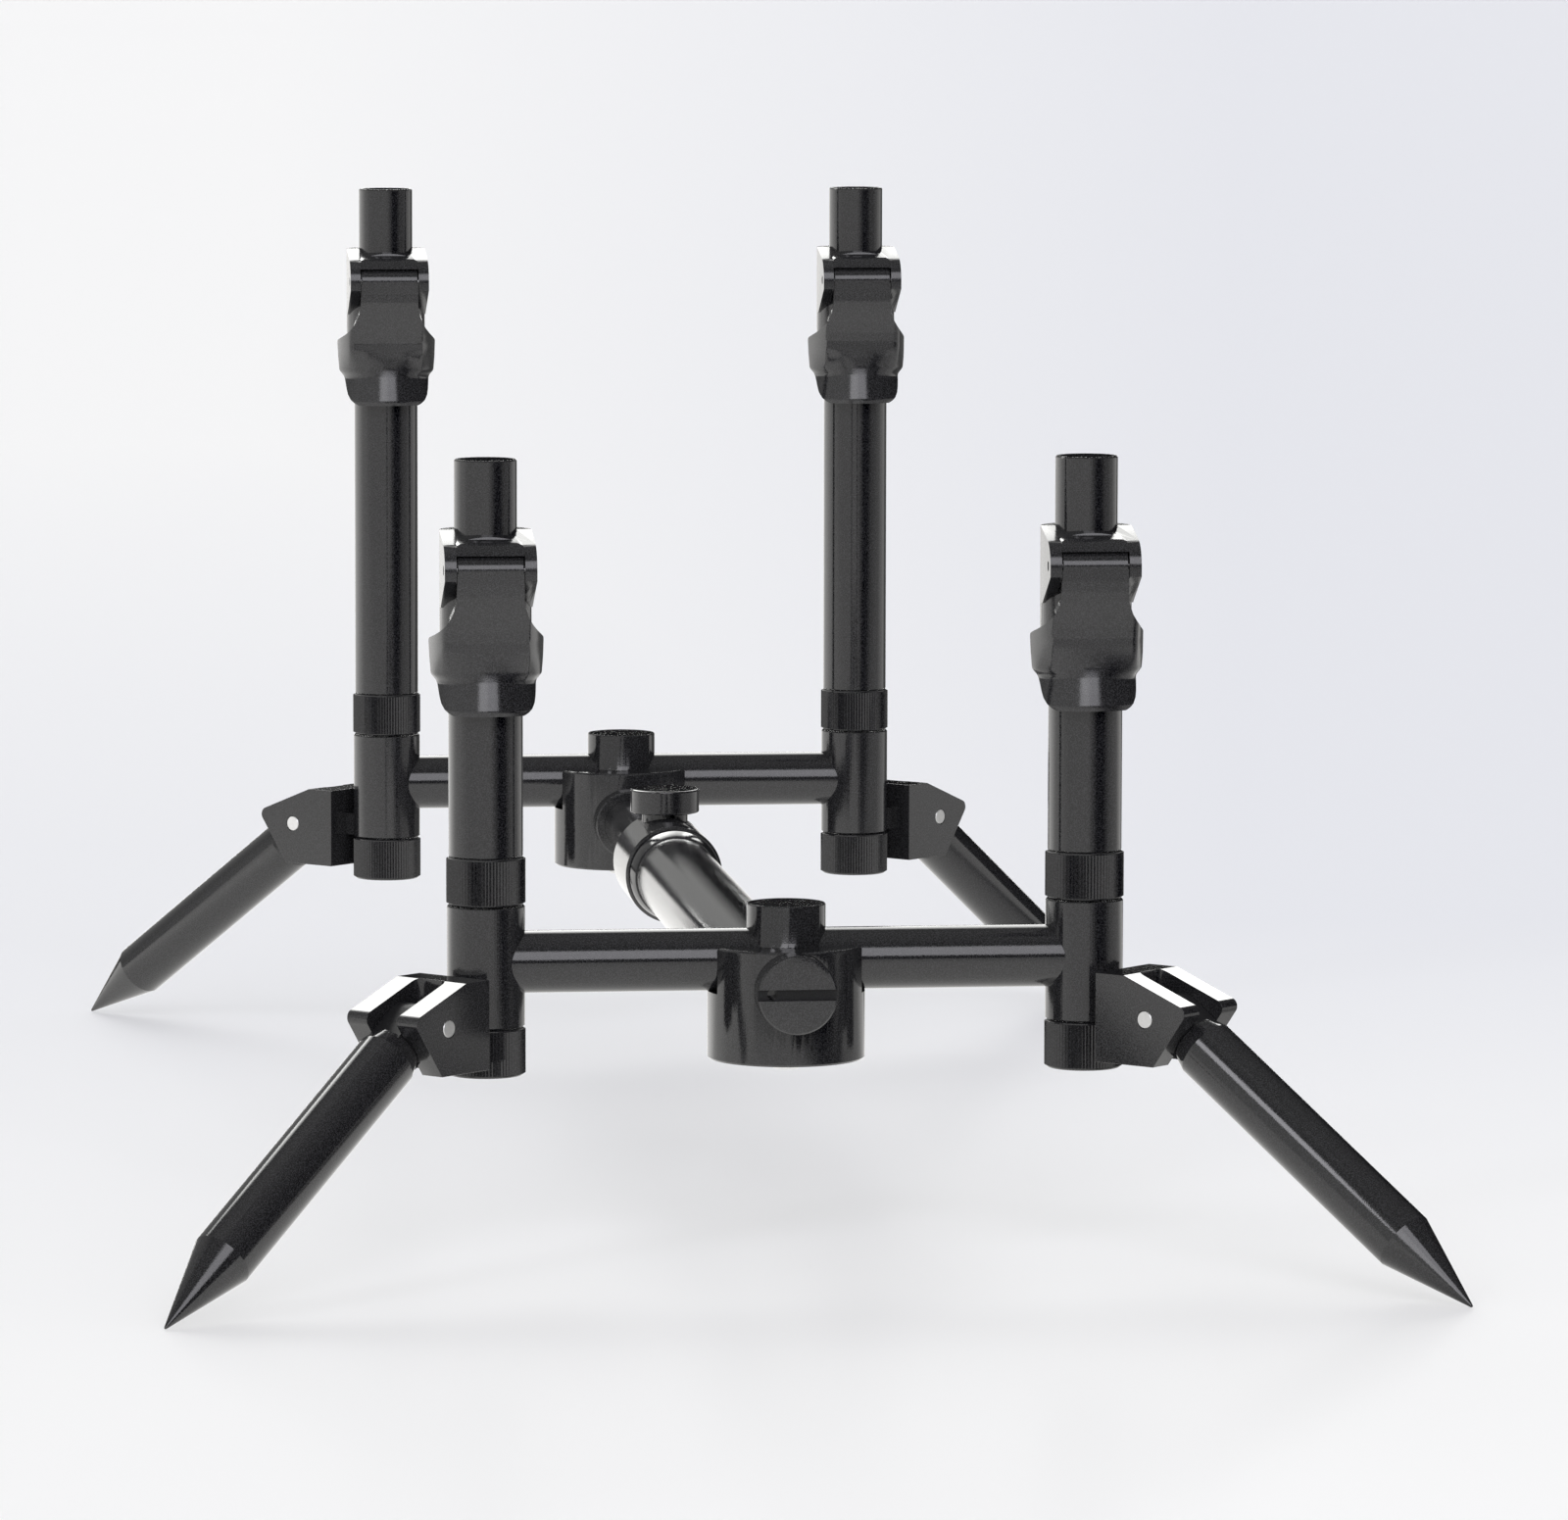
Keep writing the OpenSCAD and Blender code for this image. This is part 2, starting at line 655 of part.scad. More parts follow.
// Leg, with its pin at the origin of its own length along +X
module leg() {
    neck_start = nose_out + gap;
    tongue_half = ear_gap / 2 - gap;
    point_start = leg_length - point_length;
    color(anodised) translate([pin_out, 0, -pin_drop]) rotate([0, leg_tilt, 0]) difference() {
        union() {
            translate([0, -tongue_half, 0]) lie_y() cylinder(r = tongue_r, h = 2 * tongue_half);
            translate([0, -tongue_half, -tongue_r]) cube([neck_start + 1, 2 * tongue_half, 2 * tongue_r]);
            rotate([0, 90, 0]) rotate_extrude()
                polygon([
                    [0, neck_start], [neck_d / 2, neck_start], [leg_d / 2, neck_start + neck_length],
                    [leg_d / 2, point_start], [tip_r, leg_length], [0, leg_length]
                ]);
        }
        // round flats that let the neck pass between the ears as the leg folds
        for (s = [-1, 1])
            translate([0, s > 0 ? tongue_half : -tongue_half - leg_d, 0]) lie_y()
                cylinder(r = corner_reach + gap, h = leg_d);
        translate([0, -leg_d, 0]) lie_y() cylinder(d = hinge_pin_d + 2 * run, h = 2 * leg_d);
    }
}

// Places: the middle of each crossbar, and the axis of each upright
module at_front() {
    translate([0, front_y, bar_z]) children();
}

module at_rear() {
    translate([0, rear_y, bar_z]) children();
}

module at_post(side, end) {
    spread = end < 0 ? front_spread : rear_spread;
    translate([side * spread / 2, end * bar_gap / 2, bar_z]) children();
}

function out_angle(side, end) = atan2(end * sin(leg_turn), side * cos(leg_turn));

module at_bracket(side, end) {
    at_post(side, end) rotate([0, 0, out_angle(side, end)]) children();
}

module at_lock(side, end) {
    length = end < 0 ? front_post_length : rear_post_length;
    at_post(side, end) translate([0, 0, post_top(length)]) children();
}

module pair_of_studs(end) {
    for (side = [-1, 1]) at_post(side, end) stud();
}

module pair_of_lever_pins(end) {
    for (side = [-1, 1]) at_lock(side, end) lever_pin();
}

module pair_of_pads(end) {
    for (side = [-1, 1]) at_lock(side, end) lock_pad();
}

module pair_of_hinge_pins(end) {
    for (side = [-1, 1]) at_bracket(side, end) hinge_pin();
}

at_front() front_clamp_block();
at_rear() rotate([0, 0, 180]) rear_clamp_block();
at_front() plug();  // front_plug
at_rear() rotate([0, 0, 180]) plug();  // rear_plug
at_front() clamp_bolt();  // front_clamp_bolt
at_rear() clamp_bolt();  // rear_clamp_bolt
at_front() clamp_cap();  // front_clamp_cap
at_rear() clamp_cap();  // rear_clamp_cap
at_front() crossbar(front_spread);  // front_crossbar
at_rear() crossbar(rear_spread);  // rear_crossbar
at_front() spine_outer_tube();
at_front() spine_collar();
at_front() spine_thumbscrew();
at_front() spine_inner_tube();
at_front() spine_guide_bush();
at_post(-1, -1) sleeve(1, out_angle(-1, -1));  // front_left_sleeve
at_post(1, -1) sleeve(-1, out_angle(1, -1));  // front_right_sleeve
at_post(-1, 1) sleeve(1, out_angle(-1, 1));  // rear_left_sleeve
at_post(1, 1) sleeve(-1, out_angle(1, 1));  // rear_right_sleeve
pair_of_studs(-1);  // front_studs
pair_of_studs(1);  // rear_studs
at_post(-1, -1) lock_ring();  // front_left_lock_ring
at_post(1, -1) lock_ring();  // front_right_lock_ring
at_post(-1, 1) lock_ring();  // rear_left_lock_ring
at_post(1, 1) lock_ring();  // rear_right_lock_ring
at_post(-1, -1) nut();  // front_left_nut
at_post(1, -1) nut();  // front_right_nut
at_post(-1, 1) nut();  // rear_left_nut
at_post(1, 1) nut();  // rear_right_nut
at_post(-1, -1) outer_tube(front_post_length);  // front_left_outer_tube
at_post(1, -1) outer_tube(front_post_length);  // front_right_outer_tube
at_post(-1, 1) outer_tube(rear_post_length);  // rear_left_outer_tube
at_post(1, 1) outer_tube(rear_post_length);  // rear_right_outer_tube
at_post(-1, -1) inner_tube(front_post_length, front_inner_length);  // front_left_inner_tube
at_post(1, -1) inner_tube(front_post_length, front_inner_length);  // front_right_inner_tube
at_post(-1, 1) inner_tube(rear_post_length, rear_inner_length);  // rear_left_inner_tube
at_post(1, 1) inner_tube(rear_post_length, rear_inner_length);  // rear_right_inner_tube
at_lock(-1, -1) lock_body();  // front_left_lock_body
at_lock(1, -1) lock_body();  // front_right_lock_body
at_lock(-1, 1) lock_body();  // rear_left_lock_body
at_lock(1, 1) lock_body();  // rear_right_lock_body
at_lock(-1, -1) lever();  // front_left_lever
at_lock(1, -1) lever();  // front_right_lever
at_lock(-1, 1) lever();  // rear_left_lever
at_lock(1, 1) lever();  // rear_right_lever
pair_of_lever_pins(-1);  // front_lever_pins
pair_of_lever_pins(1);  // rear_lever_pins
pair_of_pads(-1);  // front_lock_pads
pair_of_pads(1);  // rear_lock_pads
at_bracket(-1, -1) bracket();  // front_left_bracket
at_bracket(1, -1) bracket();  // front_right_bracket
at_bracket(-1, 1) bracket();  // rear_left_bracket
at_bracket(1, 1) bracket();  // rear_right_bracket
at_bracket(-1, -1) leg();  // front_left_leg
at_bracket(1, -1) leg();  // front_right_leg
at_bracket(-1, 1) leg();  // rear_left_leg
at_bracket(1, 1) leg();  // rear_right_leg
pair_of_hinge_pins(-1);  // front_hinge_pins
pair_of_hinge_pins(1);  // rear_hinge_pins
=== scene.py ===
"""A black rod pod on a pale studio floor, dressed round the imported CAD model."""

import json
import math

import bmesh
import bpy
from mathutils import Matrix, Vector

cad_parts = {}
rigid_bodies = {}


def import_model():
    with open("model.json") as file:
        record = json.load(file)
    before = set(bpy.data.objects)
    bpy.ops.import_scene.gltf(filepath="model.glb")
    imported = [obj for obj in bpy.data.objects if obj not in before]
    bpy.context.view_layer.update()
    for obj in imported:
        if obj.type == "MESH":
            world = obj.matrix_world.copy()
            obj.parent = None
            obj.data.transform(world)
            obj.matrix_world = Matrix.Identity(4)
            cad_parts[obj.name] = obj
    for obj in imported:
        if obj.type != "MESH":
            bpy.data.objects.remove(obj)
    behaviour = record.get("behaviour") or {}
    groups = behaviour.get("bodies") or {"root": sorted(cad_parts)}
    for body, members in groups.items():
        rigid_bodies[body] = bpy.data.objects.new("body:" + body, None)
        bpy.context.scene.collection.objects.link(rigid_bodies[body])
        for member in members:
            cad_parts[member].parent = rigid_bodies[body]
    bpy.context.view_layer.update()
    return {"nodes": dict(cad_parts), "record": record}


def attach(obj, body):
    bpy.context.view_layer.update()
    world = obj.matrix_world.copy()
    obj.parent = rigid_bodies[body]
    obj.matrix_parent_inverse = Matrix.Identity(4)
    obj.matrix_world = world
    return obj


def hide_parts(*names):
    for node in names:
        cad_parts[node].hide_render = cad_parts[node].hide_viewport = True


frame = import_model()

NODES = frame["nodes"]
RECORD = frame["record"]
MM = 0.001

# Shader wiring


class Wire:
    """A shader value, whose sums and products are written as plain expressions."""

    def __init__(self, tree, socket):
        self.tree = tree
        self.socket = socket

    def math(self, operation, left, right=None):
        node = self.tree.nodes.new("ShaderNodeMath")
        node.operation = operation
        for slot, value in zip(node.inputs, (left, right)):
            if isinstance(value, Wire):
                self.tree.links.new(value.socket, slot)
            elif value is not None:
                slot.default_value = value
        return Wire(self.tree, node.outputs[0])

    def largest(self, other):
        return self.math("MAXIMUM", self, other)

    def __add__(self, other):
        return self.math("ADD", self, other)

    def __radd__(self, other):
        return self.math("ADD", other, self)

    def __sub__(self, other):
        return self.math("SUBTRACT", self, other)

    def __rsub__(self, other):
        return self.math("SUBTRACT", other, self)

    def __mul__(self, other):
        return self.math("MULTIPLY", self, other)

    def __rmul__(self, other):
        return self.math("MULTIPLY", other, self)

    def __truediv__(self, other):
        return self.math("DIVIDE", self, other)


class Shader:
    """The node tree of one material, or of the world."""

    def __init__(self, tree):
        tree.nodes.clear()
        self.tree = tree

    def node(self, kind, inputs=None, output=0, **settings):
        node = self.tree.nodes.new("ShaderNode" + kind)
        for name, value in settings.items():
            setattr(node, name, value)
        for name, value in (inputs or {}).items():
            if isinstance(value, Wire):
                self.tree.links.new(value.socket, node.inputs[name])
            else:
                node.inputs[name].default_value = value
        return Wire(self.tree, node.outputs[output]) if node.outputs else None

    def outputs(self, wire, names):
        """Other outputs of the node that a wire comes from."""
        return [Wire(self.tree, wire.socket.node.outputs[name]) for name in names]

    def ramp(self, value, start, end):
        """0 up to start, 1 from end on, and a straight rise between them."""
        return self.node("MapRange", {"Value": value, "From Min": start, "From Max": end}, "Result")

    def window(self, value, begins, full, fades, gone):
        """1 from full to fades, 0 before begins and after gone, with straight slopes between them."""
        return self.ramp(value, begins, full) * self.ramp(value, gone, fades)

    def degrees_round(self, x, y):
        """The direction of a place, in degrees: 0 straight to the rear, and more to the right."""
        return x.math("ARCTAN2", x, y) * (180 / math.pi)

    def mix(self, factor, first, second):
        """The first colour where the factor is 0, and the second where it is 1."""
        return self.node("Mix", {"Factor": factor, "A": first, "B": second}, "Result", data_type="RGBA")

    def glow(self, colour, strength):
        return self.node("Background", {"Color": colour, "Strength": strength}, "Background")


def material(name):
    made = bpy.data.materials.new(name)
    made.use_nodes = True
    return made, Shader(made.node_tree)


def grey(level, tint=1.0):
    return (level, level, level * tint, 1.0)


# Finishes

ANODISED_TINT = 1.06
SPECKLE_SCALE = 2600.0
CLOUD_SCALE = 45.0
SCRATCH_SCALE = 900.0


def anodised(name, dark, light, rough, ior=1.52):
    """Black anodised aluminium: a satin gloss with fine speckle and faint handling marks."""
    made, s = material(name)
    place = s.node("TexCoord", output="Object")
    speckle = s.node(
        "TexNoise", {"Vector": place, "Scale": SPECKLE_SCALE, "Detail": 1.0, "Roughness": 0.7}, "Fac"
    )
    cloud = s.node("TexNoise", {"Vector": place, "Scale": CLOUD_SCALE, "Detail": 3.0}, "Fac")
    spots = s.ramp(speckle, 0.42, 0.66)
    colour = s.mix(spots, grey(dark, ANODISED_TINT), grey(light, ANODISED_TINT))
    bump = s.node("Bump", {"Height": speckle, "Strength": 0.35, "Distance": 0.04 * MM}, "Normal")
    skin = s.node(
        "BsdfPrincipled",
        {
            "Base Color": colour,
            "Roughness": rough + (cloud - 0.5) * 0.06 + (speckle - 0.5) * 0.08,
            "IOR": ior,
            "Normal": bump,
        },
        "BSDF",
    )
    s.node("OutputMaterial", {"Surface": skin})
    return made


def turned_steel(name):
    """Bright steel with the fine scratches of turning."""
    made, s = material(name)
    place = s.node("TexCoord", output="Object")
    scratch = s.node("TexNoise", {"Vector": place, "Scale": SCRATCH_SCALE, "Detail": 3.0}, "Fac")
    bump = s.node("Bump", {"Height": scratch, "Strength": 0.3, "Distance": 0.03 * MM}, "Normal")
    colour = s.mix(scratch, grey(0.55), grey(0.72))
    skin = s.node(
        "BsdfPrincipled",
        {"Base Color": colour, "Metallic": 1.0, "Roughness": 0.32 + scratch * 0.16, "Normal": bump},
        "BSDF",
    )
    s.node("OutputMaterial", {"Surface": skin})
    return made


BLACK = anodised("black_anodised", 0.009, 0.032, 0.07)
KNURL = anodised("black_knurled", 0.010, 0.030, 0.13)
CAST = anodised("black_lock", 0.010, 0.036, 0.15)
STEEL = turned_steel("turned_steel")
# A darker black with weak, rough gloss: painted shade for the plug's slot floor and for the legs' tongues
# between the bracket's ears.
SHADE_BLACK = anodised("painted_shade_black", 0.010, 0.020, 0.42, ior=1.28)
GUIDE = anodised("guide_plastic", 0.02, 0.03, 0.45)

FINISHES = {
    "lock_body": CAST,
    "lever": CAST,
    "lock_ring": KNURL,
    "nut": KNURL,
    "clamp_bolt": STEEL,
    "studs": STEEL,
    "pins": STEEL,
    "pads": GUIDE,
    "bush": GUIDE,
}


def paint(thing, finish):
    thing.data.materials.clear()
    thing.data.materials.append(finish)


def finish_of(node_name):
    for ending, special in FINISHES.items():
        if node_name.endswith(ending):
            return special
    return BLACK


def meshes_of(node_name):
    """The mesh objects of a CAD node."""
    thing = NODES[node_name]
    return [part for part in [thing] + list(thing.children_recursive) if part.type == "MESH"]


for node_name in NODES:
    for part in meshes_of(node_name):
        for slot in part.material_slots:
            slot.material = finish_of(node_name)

# Tools for new pieces

CORNERS = [(end, side) for end in ("front", "rear") for side in ("left", "right")]
BODY_OF = {
    node_name: body
    for body, members in RECORD["behaviour"]["bodies"].items()
    for node_name in members
}
JOINTS = {joint["name"]: joint for joint in RECORD["behaviour"]["joints"]}

# Points closer than this are one point, in metres
SAME_POINT = 0.002 * MM
# Neighbouring faces within this many degrees of flat are one face
FLAT_WITHIN = 0.8
# Edges sharper than this many degrees stay crisp, on most pieces, on the brackets and on the legs
CREASE = 32.0
BRACKET_CREASE = 14.0
LEG_CREASE = 8.0


def piece_of(bm, name, crease=CREASE):
    """Makes an object of a finished bmesh, with smooth faces between its sharp edges."""
    mesh = bpy.data.meshes.new(name)
    bm.to_mesh(mesh)
    bm.free()
    mesh.shade_smooth()
    mesh.set_sharp_from_angle(angle=math.radians(crease))
    thing = bpy.data.objects.new(name, mesh)
    bpy.context.scene.collection.objects.link(thing)
    return thing


def goes_with(thing, node_name):
    """Gives a piece the finish and the body of a CAD node."""
    paint(thing, finish_of(node_name))
    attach(thing, BODY_OF[node_name])


def stand_in_for(thing, node_name):
    """Puts a piece in a CAD node's place."""
    goes_with(thing, node_name)
    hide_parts(node_name)


def round_edges(thing, width, steps=3, from_angle=30.0):
    bevel = thing.modifiers.new("rounded_edges", "BEVEL")
    bevel.width = width * MM
    bevel.segments = steps
    bevel.limit_method = "ANGLE"
    bevel.angle_limit = math.radians(from_angle)
    bevel.use_clamp_overlap = True
    bevel.harden_normals = True


def turn_outline(bm, outline, closed, axis, steps, centre=(0, 0, 0)):
    """Turns an outline, given as points in metres, once round an axis."""
    line = [bm.verts.new(point) for point in outline]
    pairs = list(zip(line, line[1:]))
    if closed:
        pairs.append((line[-1], line[0]))
    edges = [bm.edges.new(pair) for pair in pairs]
    bmesh.ops.spin(
        bm, geom=line + edges, cent=centre, axis=axis, angle=math.tau, steps=steps, use_merge=True
    )


def eased_copy(node_name, width, crease=CREASE, cut=None):
    """A copy of a machined solid whose sharp edges are broken, as the real one's are.

    A cut is a point and a direction, and takes away what lies beyond the point in that direction.
    """
    bm = bmesh.new()
    for part in meshes_of(node_name):
        bm.from_mesh(part.data)
    bmesh.ops.remove_doubles(bm, verts=bm.verts, dist=SAME_POINT)
    bmesh.ops.dissolve_limit(bm, angle_limit=math.radians(FLAT_WITHIN), verts=bm.verts, edges=bm.edges)
    if cut:
        point, direction = cut
        geometry = bm.verts[:] + bm.edges[:] + bm.faces[:]
        left = bmesh.ops.bisect_plane(
            bm, geom=geometry, plane_co=point, plane_no=direction, clear_outer=True
        )
        rim = [part for part in left["geom_cut"] if isinstance(part, bmesh.types.BMEdge)]
        bmesh.ops.edgenet_fill(bm, edges=rim)
        bmesh.ops.recalc_face_normals(bm, faces=bm.faces)
    thing = piece_of(bm, node_name + "_eased", crease)
    round_edges(thing, width, from_angle=min(30.0, crease + 3.0))
    stand_in_for(thing, node_name)
    return thing


# Machined pieces with broken edges

# The width of the broken edges in millimetres
EDGE_WIDTH = {
    "clamp_block": 0.4,
    "clamp_cap": 0.3,
    "plug": 0.25,
    "thumbscrew": 0.3,
    "collar": 0.4,
    "bracket": 0.35,
    "lock_body": 0.5,
}
# The floor of the coin slot, where shade is painted, lies between these depths below the plug's face
SLOT_DEPTH = (1.0 * MM, 6.0 * MM)
FACING_OUT = 0.9


def shade_slot_floor(plug):
    """Gives the floor of the plug's coin slot a darker black with weak gloss, as painted shade in its recess.
    """
    mesh = plug.data
    outward = -1.0 if sum(corner.co.y for corner in mesh.vertices) < 0 else 1.0
    outermost = max(corner.co.y * outward for corner in mesh.vertices)
    mesh.materials.append(SHADE_BLACK)
    for face in mesh.polygons:
        depth = outermost - face.center.y * outward
        if face.normal.y * outward > FACING_OUT and SLOT_DEPTH[0] < depth < SLOT_DEPTH[1]:
            face.material_index = 1


for node_name in NODES:
    for ending, width in EDGE_WIDTH.items():
        if node_name.endswith(ending):
            copy = eased_copy(node_name, width, BRACKET_CREASE if ending == "bracket" else CREASE)
            # The plug's slot floor gets painted shade.
            if ending == "plug":
                shade_slot_floor(copy)

# The ring in front of the spine's collar: the distance behind the collar's face, and the height
# above the thick tube, in millimetres
NOSE_OUTLINE = [(-5.6, -0.3), (-5.6, 0.35), (-5.2, 0.55), (-0.4, 1.6), (0.15, 1.7), (0.15, -0.3)]


def collar_nose():
    """A low tapered ring on the spine's thick tube, against the front face of its collar."""
    collar, tube = (
        [NODES[name].matrix_world @ Vector(corner) for corner in NODES[name].bound_box]
        for name in ("spine_collar", "spine_outer_tube")
    )
    front = min(corner.y for corner in collar)
    middle = sum(tube, Vector()) / len(tube)
    tube_r = (max(corner.x for corner in tube) - min(corner.x for corner in tube)) / 2
    bm = bmesh.new()
    outline = [(0, front + y * MM, middle.z + tube_r + up * MM) for y, up in NOSE_OUTLINE]
    turn_outline(bm, outline, closed=True, axis=(0, 1, 0), steps=128, centre=(middle.x, 0, middle.z))
    bmesh.ops.recalc_face_normals(bm, faces=bm.faces)
    nose = piece_of(bm, "spine_collar_nose")
    round_edges(nose, 0.15, 2)
    goes_with(nose, "spine_collar")


collar_nose()

# The cam levers

# Millimetres from the upright's axis and from the end of the outer tube. Each point is a height, then
# the distance of the lever's face from the axis, or half its width, there
LEVER_FACE = [
    (4.4, 20.66),
    (1.0, 20.55),
    (-2.5, 20.0),
    (-6.0, 18.75),
    (-10.0, 17.0),
    (-13.5, 15.7),
    (-17.0, 14.9),
    (-22.0, 14.65),
    (-29.3, 14.8),
]
LEVER_HALF_WIDTH = [
    (4.4, 10.1),
    (-4.0, 10.2),
    (-6.5, 10.75),
    (-9.4, 11.9),
    (-11.6, 13.3),
    (-13.6, 15.0),
    (-15.3, 16.7),
    (-16.1, 17.35),
    (-17.0, 17.4),
    (-22.0, 17.2),
    (-28.2, 16.7),
    (-29.3, 16.3),
]
LIP_RADIUS = [(-15.0, 14.7), (-26.0, 14.75), (-29.0, 15.2), (-33.5, 16.2), (-37.6, 17.0), (-39.0, 16.7)]
LIP_HALF_WIDTH = [
    (-26.0, 14.6),
    (-29.5, 14.95),
    (-33.5, 14.5),
    (-35.5, 14.1),
    (-37.2, 13.2),
    (-38.3, 12.0),
    (-39.0, 10.6),
]
LEVER_TOP = LEVER_FACE[0][0]
LEVER_FOOT = LIP_RADIUS[-1][0]
LEVER_WALL = 2.2
# Where the wings' width and then their flat face begin to change into the lip's, and over what height
LIP_NARROWS = (-26.5, 3.5)
LIP_ROUNDS = (-18.5, 11.5)
# Half the width of the flat face, and the width of the wing beside it
FLAT_HALF = 12.1
WING_WIDE = 5.3
# The wing's lean in degrees: where it starts at a crease, from first to last, and where it rolls, up to
# the roll in the first share of the wing and on to the last beyond it
CREASED_LEAN = (58.0, 75.0)
ROLLED_LEAN = (63.0, 82.0)
ROLL_SHARE = 0.38
# Rows down the lever, steps over half the flat face and steps along a wing
LEVER_ROWS = 96
FLAT_STEPS = 14
WING_STEPS = 40
# The pin's place, in front of the upright's axis and above the outer tube's end
PIN_FORWARD = 16.1
PIN_UP = 5.2
# The round head on the pin: places along the pin, and radii, round the bore and the outside
HEAD_OUTLINE = [(-10.0, 1.56), (-10.0, 4.6), (10.0, 4.6), (10.0, 1.56)]
# The web below the head, its size and its place from the pin
WEB_SIZE = (19.4, 5.0, 7.2)
WEB_PLACE = (0.0, -0.8, -5.2)


def on_curve(points, place):
    """The value at a place on a broken line of (place, value) points, sorted from high to low."""
    for (high, first), (low, second) in zip(points, points[1:]):
        if place >= low:
            share = (high - place) / (high - low)
            return first + (second - first) * min(max(share, 0.0), 1.0)
    return points[-1][1]


def eased(share):
    """0 below 0, 1 above 1, and a smooth rise between them."""
    share = min(max(share, 0.0), 1.0)
    return share * share * (3 - 2 * share)


def wing_profile(creased):
    """The wing beside the lever's flat face, as (x, back) points."""
    first, last = CREASED_LEAN if creased else ROLLED_LEAN
    points = [(FLAT_HALF, 0.0)]
    for step in range(WING_STEPS):
        share = (step + 0.5) / WING_STEPS
        if creased:
            lean = first + (last - first) * share
        else:
            beyond = max(share - ROLL_SHARE, 0.0) / (1 - ROLL_SHARE)
            lean = first * min(share / ROLL_SHARE, 1.0) + (last - first) * beyond
        x, back = points[-1]
        wide = WING_WIDE / WING_STEPS
        points.append((x + wide, back + wide * math.tan(math.radians(lean))))
    return points


def behind_face(x, points):
    """How far behind the flat face the lever's surface is at x."""
    if x <= FLAT_HALF:
        return 0.0
    for (start, first), (end, second) in zip(points, points[1:]):
        if x <= end:
            return first + (second - first) * (x - start) / (end - start)
    return points[-1][1]


def lever_columns(creased, points):
    """Places across half the lever, from 0 to 1: evenly over the flat face, then along the wing."""
    wide = FLAT_HALF + WING_WIDE
    flat = [FLAT_HALF / wide * step / FLAT_STEPS for step in range(FLAT_STEPS)]
    wing = [x / wide for x, _ in points[:: 2 if creased else 1]]
    return flat + wing


def lever_shell(pin, name, inner_side):
    """The hollow waist, the two wings and the flared lip: a bent sheet with a wall's thickness.

    The wing on the side of the pod's middle starts at a crease, and the other one rolls smoothly.
    """
    origin = pin + Vector((0, PIN_FORWARD, -PIN_UP)) * MM
    wings = {side: wing_profile(side == inner_side) for side in (-1, 1)}
    left, right = (lever_columns(side == inner_side, wings[side]) for side in (-1, 1))
    columns = [-share for share in reversed(left[1:])] + right
    last = len(columns) - 1
    bm = bmesh.new()
    bmesh.ops.create_grid(bm, x_segments=last, y_segments=LEVER_ROWS, size=1.0)
    for corner in bm.verts:
        share = columns[round((corner.co.x + 1) / 2 * last)]
        height = LEVER_TOP - (LEVER_TOP - LEVER_FOOT) * (1 - corner.co.y) / 2
        side = 1 if share >= 0 else -1
        x = abs(share) * on_curve(LEVER_HALF_WIDTH, height)
        plate_y = behind_face(x, wings[side]) - on_curve(LEVER_FACE, height)
        lip_x = abs(share) * on_curve(LIP_HALF_WIDTH, height)
        lip_y = -math.sqrt(on_curve(LIP_RADIUS, height) ** 2 - lip_x**2)
        narrowing, rounding = (eased((start - height) / over) for start, over in (LIP_NARROWS, LIP_ROUNDS))
        x += (lip_x - x) * narrowing
        corner.co = origin + Vector((side * x, plate_y + (lip_y - plate_y) * rounding, height)) * MM
    bmesh.ops.recalc_face_normals(bm, faces=bm.faces)
    shell = piece_of(bm, name)
    mesh = shell.data
    if sum(face.normal.y * face.area for face in mesh.polygons) > 0:
        mesh.flip_normals()
    wall = shell.modifiers.new("wall", "SOLIDIFY")
    wall.thickness = LEVER_WALL * MM
    wall.offset = -1.0
    round_edges(shell, 0.4, 3, 50.0)
    return shell


def lever_knuckle(pin, name):
    """The round head on its pin, and the web that carries the plate."""
    bm = bmesh.new()
    outline = [Vector((x, 0, radius)) * MM for x, radius in HEAD_OUTLINE]
    turn_outline(bm, outline, closed=True, axis=(1, 0, 0), steps=96)
    web = bmesh.ops.create_cube(bm, size=1.0)["verts"]
    bmesh.ops.scale(bm, vec=Vector(WEB_SIZE) * MM, verts=web)
    bmesh.ops.translate(bm, vec=Vector(WEB_PLACE) * MM, verts=web)
    bmesh.ops.translate(bm, vec=pin, verts=bm.verts)
    bmesh.ops.recalc_face_normals(bm, faces=bm.faces)
    knuckle = piece_of(bm, name)
    round_edges(knuckle, 0.3, 2, 40.0)
    return knuckle


def build_lever(end, side):
    node_name = f"{end}_{side}_lever"
    pin = Vector(JOINTS[node_name + "_turn"]["pos_m"])
    inner_side = 1 if side == "left" else -1
    stand_in_for(lever_shell(pin, node_name + "_shell", inner_side), node_name)
    goes_with(lever_knuckle(pin, node_name + "_knuckle"), node_name)


# The legs

# The leg's outline in millimetres: the distance from its hinge pin, and the radius
LEG_OUTLINE = [
    (11.3, 0.0),
    (11.3, 8.1),
    (15.7, 9.45),
    (15.9, 9.5),
    (60.0, 9.5),
    (104.8, 9.5),
    (105.0, 9.48),
    (105.2, 9.42),
    (134.5, 0.5),
    (134.9, 0.3),
    (135.0, 0.0),
]
# The tongue's end, its distance from the hinge pin
TONGUE_END = 12.5
# The leg's working angle below level, in degrees
LEG_TILT = 35.45


